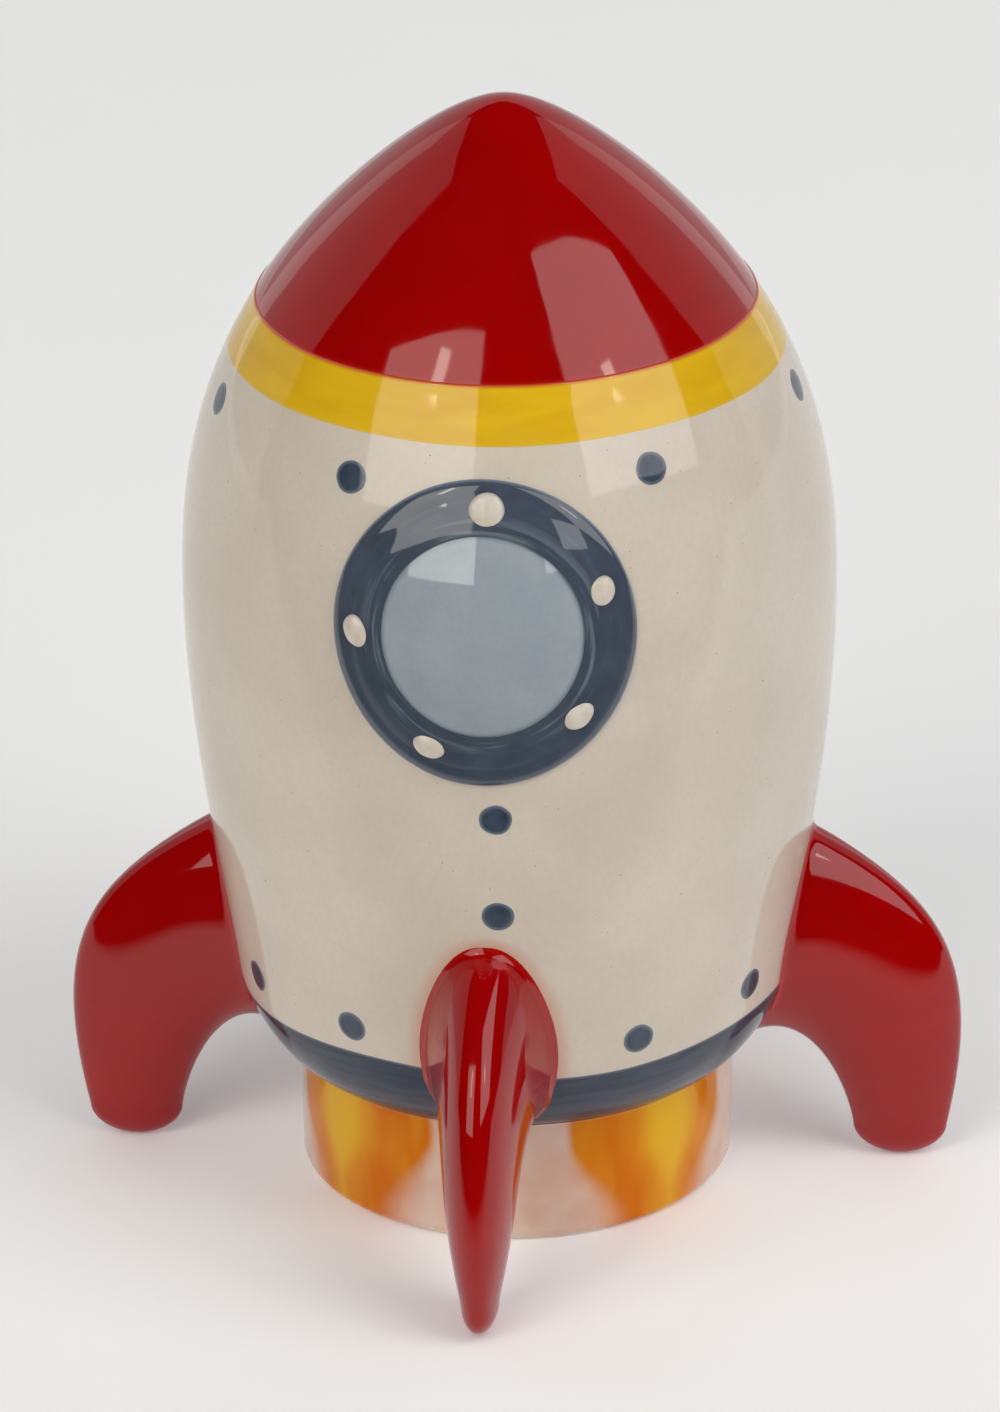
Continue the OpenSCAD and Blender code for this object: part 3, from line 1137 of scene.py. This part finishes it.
def biscuit():
    paint = Paint("biscuit", 0.75)
    grain = paint.noise(0.5, 4.0, 0.6)
    paint.start(paint.range(grain, 0.3, 0.7), (214, 204, 188), (196, 184, 166))
    paint.lay(paint.specks(1.6, 0.09, 0.3), (120, 104, 90))
    paint.lay(paint.range(paint.noise(12, 3.0), 0.5, 0.8, 0.0, 0.5), (178, 164, 146))
    paint.shade("Roughness", paint.range(grain, 0.3, 0.7, 0.65, 0.85))
    paint.bump(grain, 0.05)
    return paint.finished()


def stopper_rubber():
    paint = Paint("stopper_rubber", 0.5, ior=1.45)
    paint.start(paint.range(paint.noise(6, 3.0), 0.3, 0.7), (206, 202, 192), (188, 183, 172))
    paint.shade("Roughness", paint.range(paint.noise(0.6, 3.0), 0.3, 0.7, 0.42, 0.6))
    paint.bump(paint.noise(0.35, 2.0), 0.02)
    paint.shade("Subsurface Weight", 0.15)
    paint.shade("Subsurface Scale", 0.002)
    return paint.finished()


# ---- the object
def yellow_crest(distance):
    """The yellow stands a hair proud where the red was laid against it."""
    return 0.2 * math.exp(-distance / 1.6) * min(distance / 0.3, 1)


def build_rocket():
    cream = cream_glaze()
    red_nose = red_glaze("red_nose_glaze", "from_low")
    red_fin = red_glaze("red_fin_glaze", "from_root")
    dot_paint = slate_dot_glaze()
    band("nose_cone_glazed", nose_edge, None, red_nose, "red_glaze", ["nose_cone"])
    band("yellow_band_glazed", yellow_bottom_edge, nose_edge, yellow_glaze(), "yellow_glaze",
         ["yellow_band"], crest=yellow_crest)
    band("hull_glazed", blue_top_edge, yellow_bottom_edge, cream, "cream_glaze", ["hull"],
         cut=CoinSlot())
    band("blue_band_glazed", blue_bottom_edge, blue_top_edge, slate_band_glaze(), "slate_glaze",
         ["blue_band"])
    flame_skirt(flame_lustre())
    base_floor(biscuit())
    stopper(stopper_rubber())
    porthole_ring(slate_ring_glaze())
    porthole_pane(pane_glaze())
    porthole_rivets(rivet_glaze())
    dots("upper_dots", UPPER_DOTS, upper_dot_z, dot_paint)
    dots("lower_dots", LOWER_DOTS, lower_dot_z, dot_paint)
    dots("front_dots", [(FRONT_DOT_ANGLE, z) for z in front_dot_heights], 0, dot_paint)
    for name, azimuth in FIN_AZIMUTHS.items():
        fin(name, azimuth, red_fin)


# ---- camera, floor and light
VIEW_TURN = 4.8
CAMERA_DISTANCE = 1.10153
CAMERA_HEIGHT = 0.57885
CAMERA_PITCH = 24.659
CAMERA_PAN = -0.089
CAMERA_ROLL = -0.807
LENS_MM = 207.16
SENSOR_MM = 36


def add_camera():
    data = bpy.data.cameras.new("camera")
    data.sensor_fit = "VERTICAL"
    data.sensor_height = SENSOR_MM
    data.lens = LENS_MM
    data.clip_start = 0.01
    data.clip_end = 50
    camera = new_object("camera", data)
    turn = math.radians(VIEW_TURN)
    place = Matrix.Translation((CAMERA_DISTANCE * math.sin(turn),
                                -CAMERA_DISTANCE * math.cos(turn), CAMERA_HEIGHT))
    camera.matrix_world = (
        place
        @ Matrix.Rotation(turn - math.radians(CAMERA_PAN), 4, "Z")
        @ Matrix.Rotation(math.radians(90 - CAMERA_PITCH), 4, "X")
        @ Matrix.Rotation(math.radians(CAMERA_ROLL), 4, "Z")
    )
    bpy.context.scene.camera = camera


EYE_HEIGHT = 0.12


def panel(name, facing, side, near, low, high, radiance, colour=(1, 1, 1)):
    """A soft light panel. facing is its azimuth in degrees; side is where it starts and ends
    across that direction; it leans from (distance, height) low to (distance, height) high. All
    three are multiples of near, in metres."""
    turn = math.radians(facing + VIEW_TURN)
    forward = Vector((math.sin(turn), -math.cos(turn), 0))
    across = Vector((math.cos(turn), math.sin(turn), 0))
    up = Vector((0, 0, 1))
    bottom = forward * low[0] * near + up * low[1] * near
    top = forward * high[0] * near + up * high[1] * near
    lean = top - bottom
    width = (side[1] - side[0]) * near
    centre = (bottom + top) / 2 + across * (side[0] + side[1]) / 2 * near + up * EYE_HEIGHT
    normal = across.cross(lean).normalized()
    if normal.dot(centre) < 0:
        across, normal = -across, -normal
    light = bpy.data.lights.new(name, "AREA")
    light.shape = "RECTANGLE"
    light.size = width
    light.size_y = lean.length
    light.energy = radiance * math.pi * width * lean.length
    light.color = colour
    lamp = new_object(name, light)
    basis = Matrix((across, lean.normalized(), normal)).transposed().to_4x4()
    lamp.matrix_world = Matrix.Translation(centre) @ basis
    lamp.visible_camera = False
    return lamp


def add_lights():
    """Two softboxes with hot cores, pale walls behind, and a fill that no glaze reflects."""
    warm = (1.0, 0.94, 0.84)
    panel("left_softbox", -11, (-1.36, -0.06), 1.1, (1.47, 0.32), (1.0, 1.44), 2.35,
          (1.0, 0.96, 0.89))
    panel("left_core", -35, (-0.05, 0.04), 1.2, (1.0, 0.66), (0.82, 0.94), 6.0, warm)
    panel("right_softbox", 30, (0.0, 1.0), 1.5, (1.0, 0.26), (0.52, 1.245), 2.15)
    panel("right_core", 52, (-0.04, 0.05), 1.2, (1.0, 0.60), (0.92, 0.80), 6.0, warm)
    panel("left_surround", -90, (-1.6, -0.17), 0.9, (1.0, -0.12), (1.0, 1.9), 0.42)
    panel("right_surround", 90, (0.2, 1.6), 0.9, (1.0, -0.12), (1.0, 1.9), 0.45)
    panel("back_surround", 180, (-0.9, 0.9), 1.5, (1.0, -0.08), (1.0, 0.95), 0.5)
    fill = panel("fill", 0, (-0.9, 0.9), 1.2, (0.8, 1.0), (0.0, 1.6), 0.86)
    fill.visible_glossy = False


def add_world():
    """A pale backdrop for the eye and a dim room for everything else."""
    world = bpy.data.worlds.new("studio")
    world.use_nodes = True
    bpy.context.scene.world = world
    nodes = world.node_tree.nodes
    room = nodes["Background"]
    room.inputs["Color"].default_value = (0.012, 0.012, 0.012, 1)
    backdrop = nodes.new("ShaderNodeBackground")
    backdrop.inputs["Color"].default_value = (0.93, 0.93, 0.925, 1)
    eye = nodes.new("ShaderNodeLightPath")
    choose = nodes.new("ShaderNodeMixShader")
    links = world.node_tree.links
    links.new(eye.outputs["Is Camera Ray"], choose.inputs[0])
    links.new(room.outputs[0], choose.inputs[1])
    links.new(backdrop.outputs[0], choose.inputs[2])
    links.new(choose.outputs[0], nodes["World Output"].inputs["Surface"])


# Millimetres: where the floor fades from the eye, and the y of the edge that glazes see.
FLOOR_FADE = (500, 1100)
FLOOR_EDGE = -102
FLOOR_EDGE_BLUR = 25


def add_floor():
    """A plain pale table top that fades into the backdrop. The glaze mirrors it only behind a
    front edge, beyond which it mirrors the dim room."""
    half = 2.0
    mesh = bpy.data.meshes.new("floor")
    corners = [(-half, -half, 0), (half, -half, 0), (half, half, 0), (-half, half, 0)]
    mesh.from_pydata(corners, [], [(0, 1, 2, 3)])
    paint = Paint("studio_floor", 0.6)
    pale = paint.mix(paint.noise(40, 2.0), (0.93, 0.93, 0.92, 1), (0.95, 0.95, 0.94, 1))
    paint.shade("Base Color", pale)
    paint.shade("Emission Color", (0.9, 0.95, 1.0, 1))
    paint.shade("Emission Strength", 0.15)
    seen = paint.range(paint.axis_distance(), *FLOOR_FADE, 1.0, 0.0)
    mirrored = paint.range(paint.coordinate(1), FLOOR_EDGE - FLOOR_EDGE_BLUR,
                           FLOOR_EDGE + FLOOR_EDGE_BLUR)
    ray = paint.node("ShaderNodeLightPath").outputs["Is Glossy Ray"]
    paint.shade("Alpha", paint.mix(ray, seen, mirrored))
    mesh.materials.append(paint.material)
    floor = new_object("floor", mesh)


bpy.context.scene.view_settings.view_transform = "Standard"
build_rocket()
add_camera()
add_floor()
add_world()
add_lights()
